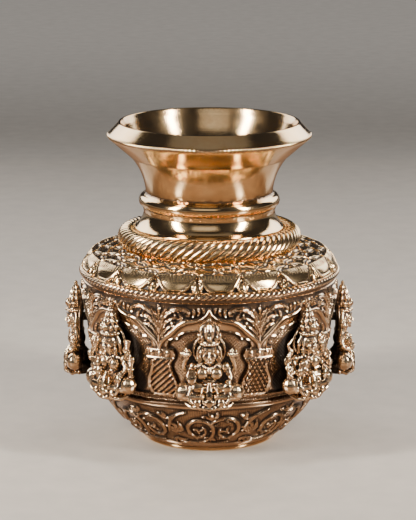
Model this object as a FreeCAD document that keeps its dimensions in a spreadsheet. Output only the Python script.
"""Brass kalash: a cast and turned water pot with eight seated figures bolted into the niches of its belly.

Millimetres, +Z up. The origin is on the pot's axis, in the plane of the foot, and the front niche faces -Y.
Every turned piece is a PartDesign body revolved about Z from an outline that is tied to the "Sizes" sheet.
"""
import FreeCAD, Part
import math
import os

import Sketcher
from FreeCAD import Placement, Rotation, Vector

BAYS = ("front", "front_right", "right", "back_right", "back", "back_left", "left", "front_left")
BAY_ANGLE = 360.0 / len(BAYS)
ORIGIN_POINT = (-1, 1)          # the sketch origin, as Sketcher numbers it
OUTLINE_TOLERANCE = 1e-6
HEXAGON_STEP = 60.0

# Driving dimensions: alias, value in mm, what it is. Radii are from the pot's axis, heights from its foot.
DRIVING_SIZES = (
    ("foot_bore_radius", 35.5, "opening inside the foot ring"),
    ("foot_bottom_radius", 39.4, "outer edge of the face that the pot stands on"),
    ("foot_top_radius", 40.2, "top edge of the foot ring"),
    ("foot_bulge", 2.4, "radius of the foot ring's rounded edge"),
    ("foot_height", 2.8, "top of the foot ring"),
    ("ledge_radius", 37.5, "ledge that carries the base plate"),
    ("ledge_height", 1.2, "height of that ledge"),
    ("bowl_foot_radius", 41.2, "bottom edge of the lower bowl"),
    ("bowl_floor_height", 4.6, "inside bottom corner of the lower bowl"),
    ("bowl_floor_radius", 37.4, "radius of that corner"),
    ("bowl_curve", 78.0, "radius of the bowl's side"),
    ("seam_radius", 66.95, "seam between bowl and belly"),
    ("seam_height", 35.7, "height of that seam"),
    ("seam_wire", 1.2, "half thickness of the seam ring"),
    ("lap", 3.0, "depth of each lap joint"),
    ("bowl_lap_radius", 63.4, "outside of the bowl's lap"),
    ("bowl_lap_inside", 61.6, "inside of the bowl's lap"),
    ("belly_radius", 75.7, "widest radius of the belly"),
    ("belly_shoulder_height", 95.3, "height where the belly's side turns upright"),
    ("belly_curve", 200.0, "radius of the belly's side"),
    ("belly_wall", 4.0, "thickness of the belly"),
    ("rope_height", 101.5, "seam between belly and shoulder, under the rope ring"),
    ("rope_wire", 1.75, "half thickness of the rope ring"),
    ("lap_wall", 1.8, "thickness of the shoulder's lap"),
    ("petal_top_radius", 69.7, "top edge of the petal zone"),
    ("petal_top_height", 112.6, "height of that edge"),
    ("petal_curve", 18.6, "radius of the petal zone's side"),
    ("shoulder_wall", 3.0, "thickness of the shoulder"),
    ("shoulder_knee_radius", 66.6, "inside corner under the petal zone"),
    ("shoulder_knee_height", 109.9, "height of that corner"),
    ("shoulder_knee_curve", 9.0, "radius of the shoulder's inside bend"),
    ("shoulder_side_height", 104.5, "lower end of that bend"),
    ("collar_seat_radius", 52.0, "flat on the shoulder that carries the collar"),
    ("collar_seat_height", 116.4, "height of that flat"),
    ("collar_roll_radius", 48.2, "centre of the collar's roll"),
    ("collar_roll", 5.95, "radius of the collar's roll"),
    ("collar_outer_foot", 50.75, "where the roll meets the shoulder"),
    ("collar_crest_radius", 45.2, "inner edge of the roll"),
    ("collar_crest_height", 127.05, "height of that edge"),
    ("collar_top_radius", 44.5, "outer edge of the flat under the neck"),
    ("collar_top_height", 126.0, "height of that flat"),
    ("spigot_radius", 37.0, "outside of the neck's spigot"),
    ("spigot_height", 112.6, "lower end of the spigot"),
    ("neck_bore", 34.5, "radius of the neck's bore"),
    ("neck_bore_top", 151.0, "upper end of the bore"),
    ("cup_foot_radius", 43.6, "foot of the neck's cup"),
    ("cup_radius", 44.1, "widest radius of the cup"),
    ("cup_height", 128.0, "height of the cup's edge"),
    ("cup_edge", 1.4, "radius of the cup's edge"),
    ("hollow_radius", 38.8, "hollow under the neck bead"),
    ("hollow_height", 136.6, "height of the hollow"),
    ("hollow_curve", 13.0, "radius of the cup's sweep"),
    ("bead_bottom_radius", 39.5, "under side of the neck bead"),
    ("bead_bottom_height", 140.0, "height of the under side"),
    ("bead_top_radius", 39.1, "upper side of the neck bead"),
    ("bead_top_height", 147.3, "height of the upper side"),
    ("bead_curve", 4.0, "radius of the neck bead"),
    ("throat_radius", 37.6, "narrowest outside radius of the neck"),
    ("throat_height", 148.5, "height of that place"),
    ("flare_radius", 45.9, "corner between neck and mouth rim"),
    ("flare_height", 169.1, "height of that corner"),
    ("flare_curve", 37.0, "radius of the neck's outward sweep"),
    ("rim_lap_radius", 43.4, "outside of the rim's lap"),
    ("rim_lap_inside", 41.2, "inside of the rim's lap"),
    ("rim_lap", 2.5, "depth of the rim's lap"),
    ("funnel_curve", 40.0, "radius of the mouth's inside sweep"),
    ("lip_radius", 60.5, "widest radius of the mouth rim"),
    ("lip_low", 181.9, "lower edge of the lip"),
    ("lip_high", 182.7, "upper edge of the lip"),
    ("rim_outer_radius", 53.3, "outer edge of the rim's top"),
    ("rim_inner_radius", 52.3, "inner edge of the rim's top"),
    ("rim_height", 190.0, "overall height"),
    ("crease_radius", 50.6, "crease inside the mouth"),
    ("crease_height", 186.1, "height of the crease"),
    ("mouth_curve", 60.0, "radius of the mouth between crease and neck"),
    ("niche_depth", 1.8, "depth of a niche"),
    ("niche_foot_height", 40.0, "bottom of a niche"),
    ("niche_foot_half", 18.6, "half width of a niche at its bottom"),
    ("niche_side_half", 20.6, "half width of a niche at the capitals"),
    ("niche_spring_height", 69.8, "height of the capitals' tops"),
    ("niche_lobe_half", 17.2, "first cusp, across"),
    ("niche_lobe_height", 76.4, "first cusp, height"),
    ("niche_crown_half", 9.6, "second cusp, across"),
    ("niche_crown_height", 81.0, "second cusp, height"),
    ("niche_tip_height", 88.5, "point of the arch"),
    ("lobe_curve", 4.6, "radius of the arch's lobes"),
    ("crown_curve", 15.0, "radius of the arch's top"),
    ("column_proud", 0.9, "how far a column stands out"),
    ("column_foot_half", 6.8, "half width of a column at its foot"),
    ("column_belly_half", 9.3, "half width of a column at its widest"),
    ("column_belly_height", 51.0, "height of that place"),
    ("column_neck_half", 7.2, "half width under the capital"),
    ("column_neck_height", 64.2, "underside of the capital"),
    ("capital_half", 8.6, "half width of the capital"),
    ("cutter_reach", 90.0, "length of the tools that cut from the axis outwards"),
    ("cutter_core", 20.0, "inner radius of the tool that clears a figure's back"),
    ("stud_radius", 1.5, "M3 stud, drawn without its thread"),
    ("stud_hole", 1.6, "clearance hole for a stud"),
    ("upper_stud_height", 72.0, "height of a figure's upper stud"),
    ("lower_stud_height", 48.0, "height of its lower stud"),
    ("upper_pad_face", 69.2, "flat inside the wall, for the upper nut"),
    ("lower_pad_face", 64.3, "flat inside the wall, for the lower nut"),
    ("pad_radius", 4.2, "boss inside the wall, around a stud"),
    ("pad_depth", 2.7, "length of that boss"),
    ("stud_grip", 4.6, "length of a stud inside its figure, from the niche floor"),
    ("stud_end", 0.9, "length of a stud past its nut"),
    ("washer_radius", 3.4, "outside of a washer"),
    ("washer_thick", 0.5, "thickness of a washer"),
    ("nut_across", 5.5, "nut, across the flats"),
    ("nut_thick", 2.4, "thickness of a nut"),
    ("boss_radius", 3.0, "boss on a figure's back"),
    ("seat_radius", 10.6, "lotus seat"),
    ("seat_low", 38.2, "underside of the seat"),
    ("seat_thick", 6.2, "height of the seat"),
    ("strip_radius", 68.3, "clears the belly below the niches"),
    ("knee_radius", 3.9, "a knee"),
    ("thigh_radius", 3.3, "a folded leg"),
    ("waist_radius", 3.3, "waist"),
    ("chest_radius", 5.2, "chest"),
    ("shoulder_radius", 2.5, "a shoulder"),
    ("throat_thick", 2.0, "throat"),
    ("head_radius", 3.9, "head"),
    ("halo_radius", 8.0, "halo behind the head"),
    ("halo_thick", 1.0, "thickness of the halo"),
    ("crown_radius", 4.7, "foot of the crown"),
    ("arm_radius", 1.35, "an arm"),
    ("hand_radius", 1.9, "a hand, or the flower that it holds"),
)


class Size:
    """A length in mm, with the sheet formula that it comes from."""

    def __init__(self, value, formula):
        self.value = value
        self.formula = formula

    def __add__(self, other):
        return Size(self.value + other.value, f"{self.formula} + {other.formula}")

    def __sub__(self, other):
        return Size(self.value - other.value, f"{self.formula} - ({other.formula})")

    def __neg__(self):
        return Size(-self.value, f"-({self.formula})")


class Sizes:
    """The driving dimensions as Size objects, by alias."""

    def __init__(self, document):
        self.sheet = document.addObject("Spreadsheet::Sheet", "Sizes")
        for row, (alias, value, note) in enumerate(DRIVING_SIZES, start=1):
            self.sheet.set(f"A{row}", note)
            self.sheet.set(f"B{row}", str(value))
            self.sheet.setAlias(f"B{row}", alias)
            setattr(self, alias, Size(value, f"Sizes.{alias}"))


doc = FreeCAD.newDocument("kalash")
size = Sizes(doc)
doc.recompute()
zero = Size(0.0, "0")


# ---------------------------------------------------------------- outlines

def arc_middle(start, end, radius, turn):
    """The middle of the short arc from start to end. turn is +1 if it turns left on the way, else -1."""
    chord = end - start
    half = chord.Length / 2
    left = Vector(-chord.y, chord.x, 0) / chord.Length
    rise = radius - math.sqrt(radius * radius - half * half)
    return (start + end) / 2 - left * (rise * turn)


def draw_outline(sketch, corners):
    """Draws a closed outline and ties it to the sheet.

    A corner is (across, up), and one that an arc leaves from is (across, up, radius, turn).
    """
    points = [Vector(corner[0].value, corner[1].value, 0) for corner in corners]
    ends = []
    for index, corner in enumerate(corners):
        start, end = points[index], points[(index + 1) % len(points)]
        if len(corner) == 2:
            edge = sketch.addGeometry(Part.LineSegment(start, end), False)
        else:
            middle = arc_middle(start, end, corner[2].value, corner[3])
            edge = sketch.addGeometry(Part.Arc(start, middle, end), False)
        forward = (sketch.getPoint(edge, 1) - start).Length < OUTLINE_TOLERANCE
        ends.append((edge, 1, 2) if forward else (edge, 2, 1))
    for index, corner in enumerate(corners):
        edge, first, _last = ends[index]
        before, _first, last = ends[index - 1]
        sketch.addConstraint(Sketcher.Constraint("Coincident", before, last, edge, first))
        tie_distance(sketch, "DistanceX", (edge, first), corner[0])
        tie_distance(sketch, "DistanceY", (edge, first), corner[1])
        if len(corner) == 4:
            number = sketch.addConstraint(Sketcher.Constraint("Radius", edge, corner[2].value))
            sketch.setExpression(f"Constraints[{number}]", corner[2].formula)


def tie_distance(sketch, kind, point, length):
    """Holds a point at a signed distance from the sketch's origin."""
    if length.value < 0:
        length, first, second = -length, point, ORIGIN_POINT
    else:
        first, second = ORIGIN_POINT, point
    number = sketch.addConstraint(Sketcher.Constraint(kind, *first, *second, length.value))
    sketch.setExpression(f"Constraints[{number}]", length.formula)


def origin_feature(body, role):
    return next(item for item in body.Origin.OriginFeatures if item.Role == role)


def turned_body(label, corners):
    """A body revolved about Z from an outline of radii and heights."""
    body = doc.addObject("PartDesign::Body", label)
    body.Label = label
    sketch = body.newObject("Sketcher::SketchObject", f"{label}_outline")
    sketch.AttachmentSupport = [(origin_feature(body, "XZ_Plane"), "")]
    sketch.MapMode = "FlatFace"
    draw_outline(sketch, corners)
    turn = body.newObject("PartDesign::Revolution", f"{label}_turned")
    turn.Profile = sketch
    turn.ReferenceAxis = (sketch, ["V_Axis"])
    turn.Angle = 360.0
    sketch.Visibility = False
    return body


# ---------------------------------------------------------------- booleans and primitives

def combined(kind, label, base, tool):
    """A Part::Cut or Part::Common of two objects."""
    result = doc.addObject(kind, label)
    result.Label = label
    result.Base = base
    result.Tool = tool
    return result


def fused(label, shapes):
    result = doc.addObject("Part::MultiFuse", label)
    result.Label = label
    result.Shapes = shapes
    return result


def primitive(kind, label, place, **lengths):
    """A Part primitive whose lengths are tied to the sheet."""
    item = doc.addObject(f"Part::{kind}", label)
    item.Label = label
    for name, length in lengths.items():
        item.setExpression(name, length.formula)
    item.Placement = place
    return item


def bay_turn(bay):
    """The turn about Z that carries the front bay to this one."""
    return Placement(Vector(), Rotation(Vector(0, 0, 1), bay * BAY_ANGLE))


def outward(radius, across, height):
    """A place in the front bay, with the local Z axis pointing away from the pot's axis."""
    return Placement(Vector(across, -radius, height), Rotation(Vector(1, 0, 0), 90))


def bay_cylinder(label, turn, start, height, radius, length):
    """A cylinder in a bay that points outwards, from a distance to the axis and a height."""
    place = turn.multiply(outward(start, 0, height))
    return primitive("Cylinder", label, place, Radius=radius, Height=length)


def bay_prism(label, turn, corners):
    """An outline, drawn in the plane through the axis that faces a bay, extruded outwards."""
    sketch = doc.addObject("Sketcher::SketchObject", f"{label}_outline")
    sketch.Placement = turn.multiply(outward(0, 0, 0))
    draw_outline(sketch, corners)
    prism = doc.addObject("Part::Extrusion", label)
    prism.Base = sketch
    prism.DirMode = "Normal"
    prism.Solid = True
    prism.setExpression("LengthFwd", size.cutter_reach.formula)
    return prism


# ---------------------------------------------------------------- foot and bowl

def make_foot_ring():
    return turned_body("foot_ring", [
        (size.foot_bore_radius, zero),
        (size.foot_bottom_radius, zero, size.foot_bulge, 1),
        (size.foot_top_radius, size.foot_height),
        (size.ledge_radius, size.foot_height),
        (size.ledge_radius, size.ledge_height),
        (size.foot_bore_radius, size.ledge_height),
    ])


def make_base_plate():
    place = Placement(Vector(0, 0, size.ledge_height.value), Rotation())
    return primitive("Cylinder", "base_plate", place,
                     Radius=size.ledge_radius, Height=size.foot_height - size.ledge_height)


def make_lower_bowl():
    seam_in = size.seam_radius - size.seam_wire
    return turned_body("lower_bowl", [
        (size.foot_bore_radius, size.foot_height),
        (size.bowl_foot_radius, size.foot_height, size.bowl_curve, 1),
        (size.seam_radius, size.seam_height - size.seam_wire, size.seam_wire, -1),
        (seam_in, size.seam_height),
        (size.bowl_lap_radius, size.seam_height),
        (size.bowl_lap_radius, size.seam_height + size.lap),
        (size.bowl_lap_inside, size.seam_height + size.lap),
        (size.bowl_lap_inside, size.seam_height - size.seam_wire, size.bowl_curve, -1),
        (size.bowl_floor_radius, size.bowl_floor_height),
        (size.foot_bore_radius, size.bowl_floor_height),
    ])


def make_ring(label, radius, height, wire):
    place = Placement(Vector(0, 0, height.value), Rotation())
    return primitive("Torus", label, place, Radius1=radius, Radius2=wire)


# ---------------------------------------------------------------- belly

def belly_side_start(inset):
    """The belly's side where the seam ring meets it, moved in by inset."""
    return (size.seam_radius - inset, size.seam_height + size.seam_wire, size.belly_curve, 1)


def make_belly_blank():
    """The belly before its niches are cut: a curved wall between the two lap joints."""
    seam_in = size.seam_radius - size.seam_wire
    inside = size.belly_radius - size.belly_wall
    seam_inside = size.seam_radius - size.belly_wall
    return turned_body("belly_blank", [
        (seam_in, size.seam_height, size.seam_wire, -1),
        belly_side_start(zero),
        (size.belly_radius, size.belly_shoulder_height),
        (size.belly_radius, size.rope_height - size.rope_wire, size.rope_wire, -1),
        (size.belly_radius - size.rope_wire, size.rope_height),
        (inside, size.rope_height),
        (inside, size.belly_shoulder_height, size.belly_curve, -1),
        (seam_inside, size.seam_height + size.lap),
        (size.bowl_lap_radius, size.seam_height + size.lap),
        (size.bowl_lap_radius, size.seam_height),
    ])


def side_ring(label, inset, thickness):
    """A tool ring that follows the belly's side, with its inner face inset from it."""
    outset = thickness - inset
    return turned_body(label, [
        belly_side_start(inset),
        (size.belly_radius - inset, size.belly_shoulder_height),
        (size.belly_radius + outset, size.belly_shoulder_height, size.belly_curve, -1),
        (size.seam_radius + outset, size.seam_height + size.seam_wire),
    ])


def arch_corners():
    """A niche: a cusped arch, from its bottom left corner round by the tip."""
    return [
        (-size.niche_foot_half, size.niche_foot_height),
        (size.niche_foot_half, size.niche_foot_height),
        (size.niche_side_half, size.niche_spring_height, size.lobe_curve, 1),
        (size.niche_lobe_half, size.niche_lobe_height, size.lobe_curve, 1),
        (size.niche_crown_half, size.niche_crown_height, size.crown_curve, 1),
        (zero, size.niche_tip_height, size.crown_curve, 1),
        (-size.niche_crown_half, size.niche_crown_height, size.lobe_curve, 1),
        (-size.niche_lobe_half, size.niche_lobe_height, size.lobe_curve, 1),
        (-size.niche_side_half, size.niche_spring_height),
    ]


def column_corners():
    """A vase-shaped column with a square capital."""
    side = [
        (size.column_foot_half, size.niche_foot_height),
        (size.column_belly_half, size.column_belly_height),
        (size.column_neck_half, size.column_neck_height),
        (size.capital_half, size.column_neck_height),
        (size.capital_half, size.niche_spring_height),
    ]
    return side + [(-across, up) for across, up in reversed(side)]


def make_belly_band():
    """The belly casting: curved niche floors, columns, and a drilled boss behind each stud."""
    half_bay = Placement(Vector(), Rotation(Vector(0, 0, 1), BAY_ANGLE / 2))
    niches, columns, pads, holes = [], [], [], []
    for bay, name in enumerate(BAYS):
        turn = bay_turn(bay)
        niches.append(bay_prism(f"niche_{name}", turn, arch_corners()))
        columns.append(bay_prism(f"column_{name}", turn.multiply(half_bay), column_corners()))
        for row, height, face in stud_rows():
            pads.append(bay_cylinder(f"pad_{row}_{name}", turn, face.value, height.value,
                                     size.pad_radius, size.pad_depth))
            holes.append(bay_cylinder(f"hole_{row}_{name}", turn, 0, height.value,
                                      size.stud_hole, size.cutter_reach))
    relief = side_ring("niche_floor_ring", size.niche_depth, size.niche_depth + size.niche_depth)
    cover = side_ring("column_face_ring", size.niche_depth, size.niche_depth + size.column_proud)
    cut_niches = combined("Part::Common", "niche_tools", fused("niche_prisms", niches), relief)
    raised = combined("Part::Common", "raised_columns", fused("column_prisms", columns), cover)
    carved = combined("Part::Cut", "carved_belly", make_belly_blank(), cut_niches)
    whole = fused("belly_with_bosses", [carved, raised] + pads)
    return combined("Part::Cut", "belly_band", whole, fused("stud_holes", holes))


# ---------------------------------------------------------------- shoulder, collar, neck and rim

def make_shoulder():
    inside = size.belly_radius - size.belly_wall
    return turned_body("shoulder", [
        (size.belly_radius - size.rope_wire, size.rope_height, size.rope_wire, -1),
        (size.belly_radius, size.rope_height + size.rope_wire, size.petal_curve, 1),
        (size.petal_top_radius, size.petal_top_height),
        (size.collar_seat_radius, size.collar_seat_height),
        (size.spigot_radius, size.collar_seat_height),
        (size.spigot_radius, size.collar_seat_height - size.shoulder_wall),
        (size.collar_seat_radius, size.collar_seat_height - size.shoulder_wall),
        (size.shoulder_knee_radius, size.shoulder_knee_height, size.shoulder_knee_curve, -1),
        (inside - size.lap_wall, size.shoulder_side_height),
        (inside - size.lap_wall, size.rope_height - size.lap),
        (inside, size.rope_height - size.lap),
        (inside, size.rope_height),
    ])


def make_gadroon_collar():
    """Revolved in two arcs, because the roll covers more than half a circle."""
    crest = size.collar_seat_height + size.collar_roll
    return turned_body("gadroon_collar", [
        (size.spigot_radius, size.collar_seat_height),
        (size.collar_outer_foot, size.collar_seat_height, size.collar_roll, 1),
        (size.collar_roll_radius + size.collar_roll, crest, size.collar_roll, 1),
        (size.collar_crest_radius, size.collar_crest_height),
        (size.collar_top_radius, size.collar_top_height),
        (size.spigot_radius, size.collar_top_height),
    ])


def make_neck():
    return turned_body("neck", [
        (size.neck_bore, size.spigot_height),
        (size.spigot_radius, size.spigot_height),
        (size.spigot_radius, size.collar_top_height),
        (size.cup_foot_radius, size.collar_top_height, size.cup_edge, 1),
        (size.cup_radius, size.cup_height, size.hollow_curve, -1),
        (size.hollow_radius, size.hollow_height),
        (size.bead_bottom_radius, size.bead_bottom_height, size.bead_curve, 1),
        (size.bead_top_radius, size.bead_top_height),
        (size.throat_radius, size.throat_height, size.flare_curve, -1),
        (size.flare_radius, size.flare_height),
        (size.rim_lap_radius, size.flare_height),
        (size.rim_lap_radius, size.flare_height - size.rim_lap),
        (size.rim_lap_inside, size.flare_height - size.rim_lap, size.funnel_curve, 1),
        (size.neck_bore, size.neck_bore_top),
    ])


def make_mouth_rim():
    return turned_body("mouth_rim", [
        (size.rim_lap_radius, size.flare_height),
        (size.flare_radius, size.flare_height),
        (size.lip_radius, size.lip_low),
        (size.lip_radius, size.lip_high),
        (size.rim_outer_radius, size.rim_height),
        (size.rim_inner_radius, size.rim_height),
        (size.crease_radius, size.crease_height, size.mouth_curve, -1),
        (size.rim_lap_inside, size.flare_height - size.rim_lap),
        (size.rim_lap_radius, size.flare_height - size.rim_lap),
    ])


# ---------------------------------------------------------------- studs, washers and nuts

def stud_rows():
    """Each row of studs: its name, its height and the flat that its nuts sit on."""
    return (
        ("upper", size.upper_stud_height, size.upper_pad_face),
        ("lower", size.lower_stud_height, size.lower_pad_face),
    )


def side_radius(height):
    """The belly's outer radius at a height on its curved side."""
    drop = size.belly_shoulder_height.value - height
    curve = size.belly_curve.value
    return size.belly_radius.value - curve + math.sqrt(curve * curve - drop * drop)


def front_rod(radius, start, height, length):
    """A cylinder in the front bay that points outwards."""
    return Part.makeCylinder(radius, length, Vector(0, -start, height), Vector(0, -1, 0))


def front_hexagon(across, start, height, thickness):
    """A hexagonal block in the front bay that points outwards."""
    corner_radius = across / math.sqrt(3)
    corners = []
    for k in range(7):
        angle = math.radians(HEXAGON_STEP * k)
        rise = corner_radius * math.sin(angle)
        corners.append(Vector(corner_radius * math.cos(angle), -start, height + rise))
    return Part.Face(Part.makePolygon(corners)).extrude(Vector(0, -thickness, 0))


def make_fasteners():
    """Three nodes, each a group of separate solids: studs, washers and nuts."""
    stud_shapes, washer_shapes, nut_shapes = [], [], []
    reach = size.cutter_reach.value
    for _row, height, face in stud_rows():
        level = height.value
        washer_face = face.value - size.washer_thick.value
        nut_face = washer_face - size.nut_thick.value
        start = nut_face - size.stud_end.value
        floor = side_radius(level) - size.niche_depth.value
        stud = front_rod(size.stud_radius.value, start, level, floor + size.stud_grip.value - start)
        washer = front_rod(size.washer_radius.value, washer_face, level, size.washer_thick.value)
        hole = front_rod(size.stud_hole.value, 0, level, reach)
        nut = front_hexagon(size.nut_across.value, nut_face, level, size.nut_thick.value)
        bore = front_rod(size.stud_radius.value, 0, level, reach)
        for bay in range(len(BAYS)):
            matrix = bay_turn(bay).toMatrix()
            stud_shapes.append(stud.transformed(matrix))
            washer_shapes.append(washer.cut(hole).transformed(matrix))
            nut_shapes.append(nut.cut(bore).transformed(matrix))
    return [
        solid_group("figure_studs", stud_shapes),
        solid_group("figure_washers", washer_shapes),
        solid_group("figure_nuts", nut_shapes),
    ]


def solid_group(label, shapes):
    group = doc.addObject("Part::Feature", label)
    group.Label = label
    group.Shape = Part.Compound(shapes)
    return group


# ---------------------------------------------------------------- figures

# Where a figure's pieces lie in the front bay: across, distance from the pot's axis, height.
KNEE = (13.0, 77.5, 48.0)
FOOT = (4.0, 82.0, 46.2)
WAIST_HEIGHT = 49.0
WAIST_LENGTH = 8.0
BODY_DISTANCE = 77.4
CHEST_HEIGHT = 60.0
HEAD_HEIGHT = 69.0
HEAD_DISTANCE = 80.5
HALO_DISTANCE = 77.0
SEAT_DISTANCE = 75.0
BOSS_END = 79.4
CROWN_FOOT = (0.0, 79.9, 71.0)
CROWN_LEAN = 3.0                # degrees, back towards the pot
CROWN_TIP_RADIUS = 0.8
SHOULDER = (7.2, 77.6, 62.2)
FRONT_ELBOW = (11.0, 78.2, 56.2)
FRONT_HAND = (10.0, 82.0, 55.0)
REAR_ELBOW = (12.2, 75.6, 61.0)
REAR_HAND = (14.2, 77.6, 68.0)
THROAT = ((0.0, 78.0, 63.0), (0.0, 80.0, 67.0))
CROWN_LENGTHS = {"front": 15.5}
TALL_CROWN = 19.5


def at(place):
    """The document's vector for a place in the front bay."""
    across, distance, height = place
    return Vector(across, -distance, height)


def limb(label, start, end, radius):
    """A rod between two places, with a ball at its far end."""
    first, last = at(start), at(end)
    rod = primitive("Cylinder", f"{label}_rod",
                    Placement(first, Rotation(Vector(0, 0, 1), last - first)), Radius=radius)
    rod.Height = (last - first).Length
    return [rod, ball(f"{label}_end", end, radius)]


def mirrored(place):
    return (-place[0], place[1], place[2])


def ball(label, place, radius):
    return primitive("Sphere", label, Placement(at(place), Rotation()), Radius=radius)


def make_figure_core():
    """The pieces that all eight figures share, in the front bay."""
    seat_place = Placement(at((0, SEAT_DISTANCE, size.seat_low.value)), Rotation())
    seat = primitive("Cylinder", "seat", seat_place, Radius=size.seat_radius, Height=size.seat_thick)
    waist_place = Placement(at((0, BODY_DISTANCE, WAIST_HEIGHT)), Rotation())
    waist = primitive("Cylinder", "waist", waist_place, Radius=size.waist_radius)
    waist.Height = WAIST_LENGTH
    chest = ball("chest", (0, BODY_DISTANCE, CHEST_HEIGHT), size.chest_radius)
    head = ball("head", (0, HEAD_DISTANCE, HEAD_HEIGHT), size.head_radius)
    halo = primitive("Cylinder", "halo", outward(HALO_DISTANCE, 0, HEAD_HEIGHT),
                     Radius=size.halo_radius, Height=size.halo_thick)
    pieces = [seat, waist, chest, head, halo] + limb("throat", *THROAT, size.throat_thick)
    for side, place in (("right", lambda p: p), ("left", mirrored)):
        pieces.append(ball(f"{side}_knee", place(KNEE), size.knee_radius))
        pieces.append(ball(f"{side}_shoulder", place(SHOULDER), size.shoulder_radius))
        pieces += limb(f"{side}_leg", place(KNEE), place(FOOT), size.thigh_radius)
        pieces += limb(f"{side}_upper_arm", place(SHOULDER), place(FRONT_ELBOW), size.arm_radius)
        pieces += limb(f"{side}_forearm", place(FRONT_ELBOW), place(FRONT_HAND), size.arm_radius)
        pieces += limb(f"{side}_rear_arm", place(SHOULDER), place(REAR_ELBOW), size.arm_radius)
        pieces += limb(f"{side}_rear_forearm", place(REAR_ELBOW), place(REAR_HAND), size.arm_radius)
        pieces.append(ball(f"{side}_flower", place(REAR_HAND), size.hand_radius))
        pieces.append(ball(f"{side}_hand", place(FRONT_HAND), size.hand_radius))
    for row, height, _face in stud_rows():
        start = side_radius(height.value) - 2 * size.niche_depth.value
        place = outward(start, 0, height.value)
        boss = primitive("Cylinder", f"{row}_boss", place, Radius=size.boss_radius)
        boss.Height = BOSS_END - start
        pieces.append(boss)
    return pieces


def make_figure_cutters():
    """What is taken off a figure: the belly behind its niche floor, and the tapped holes."""
    behind = turned_body("behind_niche_floor", [
        (size.cutter_core, size.seam_height - size.lap),
        (size.seam_radius - size.niche_depth, size.seam_height - size.lap),
        belly_side_start(size.niche_depth),
        (size.belly_radius - size.niche_depth, size.belly_shoulder_height),
        (size.cutter_core, size.belly_shoulder_height),
    ])
    strip = primitive("Cylinder", "behind_strip", Placement(),
                      Radius=size.strip_radius, Height=size.niche_foot_height)
    cutters = [behind, strip]
    for row, height, _face in stud_rows():
        floor = side_radius(height.value) - size.niche_depth.value
        place = outward(0, 0, height.value)
        tapped = primitive("Cylinder", f"{row}_tapped_hole", place, Radius=size.stud_radius)
        tapped.Height = floor + size.stud_grip.value
        cutters.append(tapped)
    return fused("figure_cutters", cutters)


def make_figures():
    core = fused("figure_core", make_figure_core())
    cutters = make_figure_cutters()
    figures = []
    crown_place = Placement(at(CROWN_FOOT), Rotation(Vector(1, 0, 0), -CROWN_LEAN))
    for bay, name in enumerate(BAYS):
        crown = primitive("Cone", f"crown_{name}", crown_place, Radius1=size.crown_radius)
        crown.Radius2 = CROWN_TIP_RADIUS
        crown.Height = CROWN_LENGTHS.get(name, TALL_CROWN)
        crowned = fused(f"crowned_{name}", [core, crown])
        figure = combined("Part::Cut", f"figure_{name}", crowned, cutters)
        figure.Placement = bay_turn(bay)
        figures.append(figure)
    return figures


# ---------------------------------------------------------------- assembly and export

def make_parts():
    parts = [
        make_foot_ring(),
        make_base_plate(),
        make_lower_bowl(),
        make_ring("seam_ring", size.seam_radius, size.seam_height, size.seam_wire),
        make_belly_band(),
        make_ring("rope_ring", size.belly_radius, size.rope_height, size.rope_wire),
        make_shoulder(),
        make_gadroon_collar(),
        make_neck(),
        make_mouth_rim(),
    ]
    return parts + make_figures() + make_fasteners()


def check(parts):
    """Stops before anything is written if an object failed or a part isn't sound solids."""
    for item in doc.Objects:
        if "Invalid" in item.State or "Error" in item.State:
            raise RuntimeError(f"{item.Label} failed: {item.State}")
    for part in parts:
        shape = part.Shape
        if shape.isNull() or not shape.isValid() or not shape.Solids:
            raise RuntimeError(f"{part.Label} has no sound shape")


def main():
    parts = make_parts()
    doc.recompute()
    check(parts)
    os.makedirs("parts", exist_ok=True)
    for part in parts:
        part.Shape.exportStep(os.path.join("parts", f"{part.Label}.step"))
        box = part.Shape.optimalBoundingBox(False, False)
        print(f"{part.Label}: {len(part.Shape.Solids)} solids, {part.Shape.Volume / 1000:.2f} cm3, "
              f"{box.XLength:.1f} x {box.YLength:.1f} x {box.ZLength:.1f} mm")


main()
